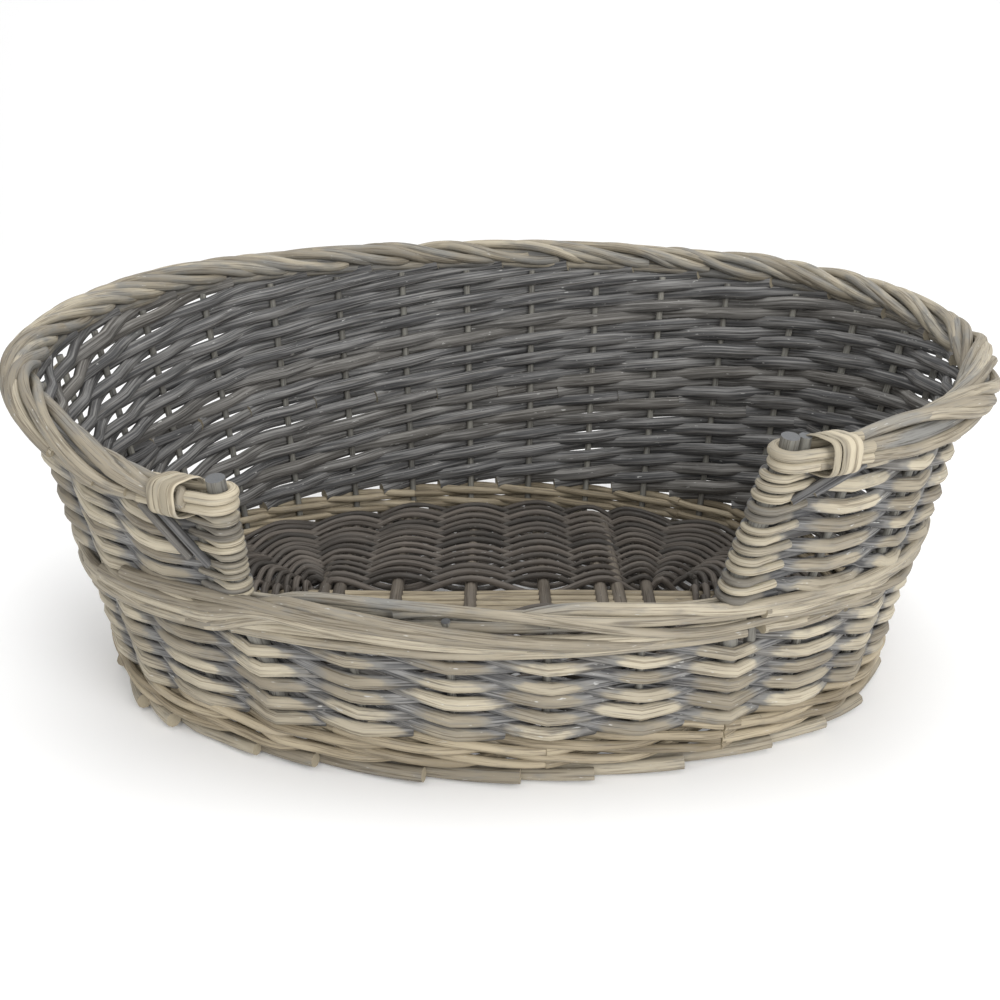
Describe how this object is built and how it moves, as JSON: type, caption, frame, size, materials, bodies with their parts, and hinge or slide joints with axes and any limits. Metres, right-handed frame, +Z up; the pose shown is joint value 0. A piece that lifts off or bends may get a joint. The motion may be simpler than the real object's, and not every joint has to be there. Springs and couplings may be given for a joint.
{
  "type": "wicker pet basket",
  "caption": "Oval willow pet basket with leaning woven walls, a rolled rim that is highest at the back, and a low entry between two bound posts.",
  "frame": {"origin": "centre of the footprint of the whole basket, on the surface it rests on", "axes": "+X along the length, -Y towards the entry at the front, +Z up"},
  "size_m": [0.74, 0.5695, 0.2762],
  "materials": {
    "washed_willow": "grey-washed willow rod, satin bark",
    "light_willow": "lighter willow rod",
    "grey_stick": "thick grey-brown willow stick",
    "base_weave": "dark thin willow weave",
    "siding": "grey-washed willow weave",
    "skein": "pale split willow skein"
  },
  "bodies": {
    "root": {"long_sticks": "light_willow", "cross_sticks": "grey_stick", "base_weave": "base_weave", "foot_border_outer": "washed_willow", "foot_border_inner": "washed_willow", "foot_wale": "washed_willow", "upsett_wale": "light_willow", "stakes_front": "grey_stick", "stakes_right": "grey_stick", "stakes_back": "grey_stick", "stakes_left": "grey_stick", "siding_lower_front": "siding", "siding_lower_right": "siding", "siding_lower_back": "siding", "siding_lower_left": "siding", "mid_wale_outer": "washed_willow", "mid_wale_inner": "washed_willow", "front_rail_outer": "washed_willow", "front_rail_inner": "washed_willow", "front_rail_cap": "washed_willow", "siding_upper_right": "siding", "siding_upper_back": "siding", "siding_upper_left": "siding", "post_right": "grey_stick", "post_left": "grey_stick", "liner_right": "grey_stick", "liner_left": "grey_stick", "post_wrap_right": "skein", "post_wrap_left": "skein", "rim_core": "washed_willow", "rim_rods_outer": "washed_willow", "rim_rods_top": "washed_willow", "rim_rods_inner": "washed_willow", "rim_rods_under": "washed_willow", "post_loop_right": "washed_willow", "post_loop_left": "washed_willow", "lashing_right": "skein", "lashing_left": "skein"}
  },
  "joints": []
}
